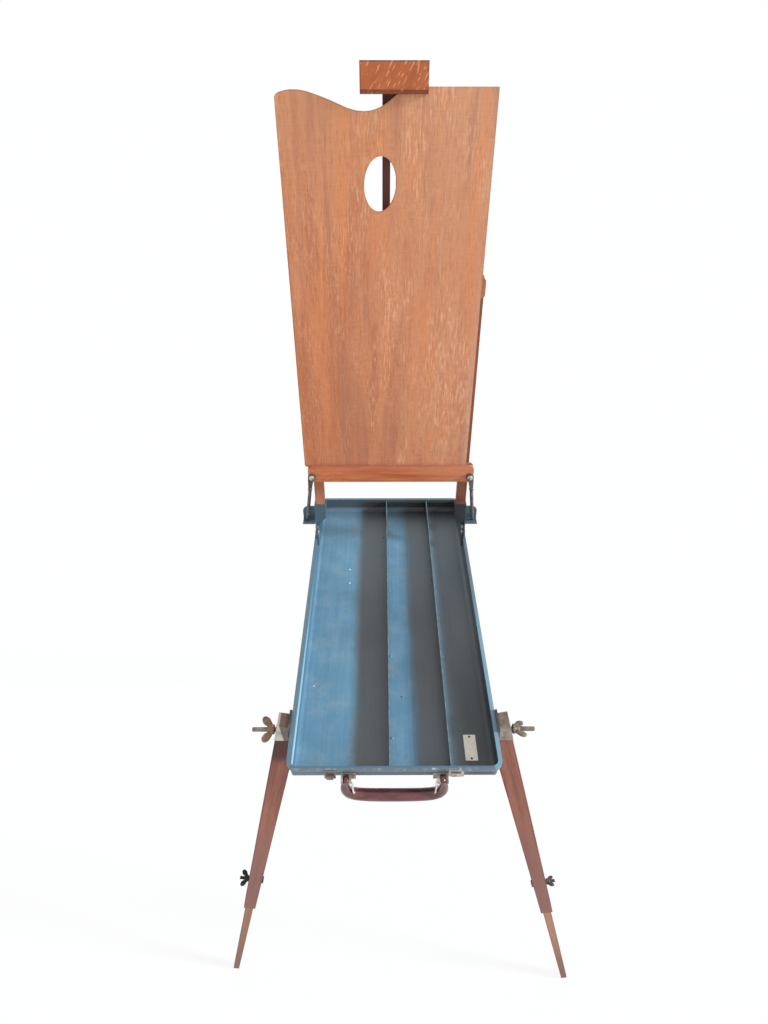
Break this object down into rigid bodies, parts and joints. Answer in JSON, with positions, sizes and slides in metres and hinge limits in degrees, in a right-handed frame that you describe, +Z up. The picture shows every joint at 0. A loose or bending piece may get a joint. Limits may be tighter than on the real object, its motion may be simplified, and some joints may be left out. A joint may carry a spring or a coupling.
{
  "type": "pochade box",
  "caption": "Field sketching easel: a shallow steel paint tray on telescoping wooden legs, with a fold-up wooden frame, a palette and a sliding clamp mast.",
  "frame": {"origin": "on the floor, at the middle of the whole object's outline seen from above", "axes": "+Z up, -Y towards the painter (handle end of the tray), +X to the right in the picture"},
  "size_m": [0.6566, 0.7974, 1.469],
  "materials": {
    "tray": "hammered blue-grey enamel",
    "divider_a": "hammered blue-grey enamel",
    "divider_b": "hammered blue-grey enamel",
    "leg_b_bracket": "worn blue-grey enamel",
    "pivot_ear_l": "worn blue-grey enamel",
    "pivot_ear_r": "worn blue-grey enamel",
    "shoe_l": "worn blue-grey enamel",
    "shoe_r": "worn blue-grey enamel",
    "stay_bracket_l": "worn blue-grey enamel",
    "stay_bracket_r": "worn blue-grey enamel",
    "divider_rivets": "worn blue-grey enamel",
    "bracket_rivets": "worn blue-grey enamel",
    "bare_plate": "plain matt plate",
    "plate_rivets": "dull aged plating",
    "handle_loops": "dull aged plating",
    "handle_staples": "dull aged plating",
    "clasp": "dull aged plating",
    "catch_plate": "dull aged plating",
    "leg_bracket_l": "dull aged plating",
    "leg_bracket_r": "dull aged plating",
    "leg_studs": "dull aged plating",
    "leg_l_cap": "dull aged plating",
    "leg_r_cap": "dull aged plating",
    "leg_b_pin": "dull aged plating",
    "leg_l_wing": "dull aged plating",
    "leg_r_wing": "dull aged plating",
    "leg_b_wing": "dull aged plating",
    "leg_l_bolt": "dull aged plating",
    "leg_r_bolt": "dull aged plating",
    "leg_b_bolt": "dull aged plating",
    "leg_l_nut": "dull aged plating",
    "leg_r_nut": "dull aged plating",
    "leg_b_nut": "dull aged plating",
    "pivot_rivets": "dull aged plating",
    "ledge_screw": "dull aged plating",
    "stay_screws": "dull aged plating",
    "keeper": "dull aged plating",
    "keeper_screws": "dull aged plating",
    "mast_bolt": "dull aged plating",
    "mast_wing": "dull aged plating",
    "block_screws": "dull aged plating",
    "stay_l": "dull aged plating",
    "stay_r": "dull aged plating",
    "handle_grip": "glossy moulded grip",
    "leg_l_outer": "old varnished hardwood",
    "leg_r_outer": "old varnished hardwood",
    "leg_b_outer": "old varnished hardwood",
    "leg_l_inner": "oiled hardwood",
    "leg_r_inner": "oiled hardwood",
    "leg_b_inner": "oiled hardwood",
    "stile_l": "varnished hardwood",
    "stile_r": "varnished hardwood",
    "crossbar": "varnished hardwood",
    "ledge": "varnished hardwood",
    "clamp_block": "varnished hardwood",
    "palette": "oiled mahogany ply",
    "mast": "dark stained hardwood"
  },
  "bodies": {
    "tray": {"tray": "tray", "divider_a": "divider_a", "divider_b": "divider_b", "divider_rivets": "divider_rivets", "bare_plate": "bare_plate", "plate_rivets": "plate_rivets", "handle_staples": "handle_staples", "clasp": "clasp", "catch_plate": "catch_plate", "leg_bracket_l": "leg_bracket_l", "leg_bracket_r": "leg_bracket_r", "leg_studs": "leg_studs", "bracket_rivets": "bracket_rivets", "leg_b_bracket": "leg_b_bracket", "leg_b_pin": "leg_b_pin", "stay_bracket_l": "stay_bracket_l", "stay_bracket_r": "stay_bracket_r", "pivot_ear_l": "pivot_ear_l", "pivot_ear_r": "pivot_ear_r", "pivot_rivets": "pivot_rivets"},
    "handle": {"handle_grip": "handle_grip", "handle_loops": "handle_loops"},
    "easel": {"shoe_l": "shoe_l", "shoe_r": "shoe_r", "stile_l": "stile_l", "stile_r": "stile_r", "crossbar": "crossbar", "ledge": "ledge", "ledge_screw": "ledge_screw", "stay_screws": "stay_screws", "keeper": "keeper", "keeper_screws": "keeper_screws", "mast_bolt": "mast_bolt"},
    "mast": {"mast": "mast", "clamp_block": "clamp_block", "block_screws": "block_screws"},
    "palette": {"palette": "palette"},
    "mast_wing": {"mast_wing": "mast_wing"},
    "stay_l": {"stay_l": "stay_l"},
    "stay_r": {"stay_r": "stay_r"},
    "leg_l": {"leg_l_outer": "leg_l_outer", "leg_l_cap": "leg_l_cap", "leg_l_bolt": "leg_l_bolt"},
    "leg_l_inner": {"leg_l_inner": "leg_l_inner"},
    "leg_l_wing": {"leg_l_wing": "leg_l_wing"},
    "leg_l_nut": {"leg_l_nut": "leg_l_nut"},
    "leg_r": {"leg_r_outer": "leg_r_outer", "leg_r_cap": "leg_r_cap", "leg_r_bolt": "leg_r_bolt"},
    "leg_r_inner": {"leg_r_inner": "leg_r_inner"},
    "leg_r_wing": {"leg_r_wing": "leg_r_wing"},
    "leg_r_nut": {"leg_r_nut": "leg_r_nut"},
    "leg_b": {"leg_b_outer": "leg_b_outer", "leg_b_bolt": "leg_b_bolt"},
    "leg_b_inner": {"leg_b_inner": "leg_b_inner"},
    "leg_b_wing": {"leg_b_wing": "leg_b_wing"},
    "leg_b_nut": {"leg_b_nut": "leg_b_nut"}
  },
  "joints": [
    {"name": "frame_fold", "type": "hinge", "parent": "tray", "child": "easel", "pos_m": [-0.01838, 0.07235, 0.777], "axis": [1, 0, 0], "range_deg": [0, 86]},
    {"name": "palette_slide", "type": "slide", "parent": "easel", "child": "palette", "axis": [1, 0, 0], "range_m": [-0.015, 0.015]},
    {"name": "mast_slide", "type": "slide", "parent": "easel", "child": "mast", "axis": [0, 0.0349, 0.9994], "range_m": [0, 0.06]},
    {"name": "mast_wing_turn", "type": "hinge", "parent": "easel", "child": "mast_wing", "pos_m": [-0.01838, 0.10024, 1.20329], "axis": [0, 0.9994, -0.0349], "continuous": true},
    {"name": "stay_l_swing", "type": "hinge", "parent": "easel", "child": "stay_l", "pos_m": [-0.14988, 0.06661, 0.89928], "axis": [0, 0.9994, -0.0349], "range_deg": [0, 120]},
    {"name": "stay_r_swing", "type": "hinge", "parent": "easel", "child": "stay_r", "pos_m": [0.11312, 0.06661, 0.89928], "axis": [0, -0.9994, 0.0349], "range_deg": [0, 120]},
    {"name": "handle_swing", "type": "hinge", "parent": "tray", "child": "handle", "pos_m": [-0.01838, -0.39165, 0.755], "axis": [-1, 0, 0], "range_deg": [0, 100]},
    {"name": "leg_l_fold", "type": "hinge", "parent": "tray", "child": "leg_l", "pos_m": [-0.15938, -0.31565, 0.751], "axis": [1, 0, 0], "range_deg": [0, 88]},
    {"name": "leg_l_slide", "type": "slide", "parent": "leg_l", "child": "leg_l_inner", "axis": [0.2139, 0.0307, 0.9764], "range_m": [0, 0.25]},
    {"name": "leg_l_wing_turn", "type": "hinge", "parent": "tray", "child": "leg_l_wing", "pos_m": [-0.17838, -0.31565, 0.751], "axis": [-1, 0, 0], "continuous": true},
    {"name": "leg_l_nut_turn", "type": "hinge", "parent": "leg_l", "child": "leg_l_nut", "pos_m": [-0.25998, -0.32818, 0.35249], "axis": [-0.9769, 0.0067, 0.2138], "continuous": true},
    {"name": "leg_r_fold", "type": "hinge", "parent": "tray", "child": "leg_r", "pos_m": [0.12262, -0.31565, 0.751], "axis": [1, 0, 0], "range_deg": [0, 88]},
    {"name": "leg_r_slide", "type": "slide", "parent": "leg_r", "child": "leg_r_inner", "axis": [-0.2588, 0.0539, 0.9644], "range_m": [0, 0.25]},
    {"name": "leg_r_wing_turn", "type": "hinge", "parent": "tray", "child": "leg_r_wing", "pos_m": [0.14162, -0.31565, 0.751], "axis": [1, 0, 0], "continuous": true},
    {"name": "leg_r_nut_turn", "type": "hinge", "parent": "leg_r", "child": "leg_r_nut", "pos_m": [0.24155, -0.33763, 0.35798], "axis": [0.9659, 0.0144, 0.2584], "continuous": true},
    {"name": "leg_b_fold", "type": "hinge", "parent": "tray", "child": "leg_b", "pos_m": [-0.01838, 0.16035, 0.72179], "axis": [1, 0, 0], "range_deg": [-94, 0]},
    {"name": "leg_b_slide", "type": "slide", "parent": "leg_b", "child": "leg_b_inner", "axis": [0, -0.309, 0.9511], "range_m": [0, 0.25]},
    {"name": "leg_b_wing_turn", "type": "hinge", "parent": "tray", "child": "leg_b_wing", "pos_m": [-0.00038, 0.16035, 0.72179], "axis": [1, 0, 0], "continuous": true},
    {"name": "leg_b_nut_turn", "type": "hinge", "parent": "leg_b", "child": "leg_b_nut", "pos_m": [-0.01838, 0.28735, 0.33091], "axis": [1, 0, 0], "continuous": true}
  ]
}
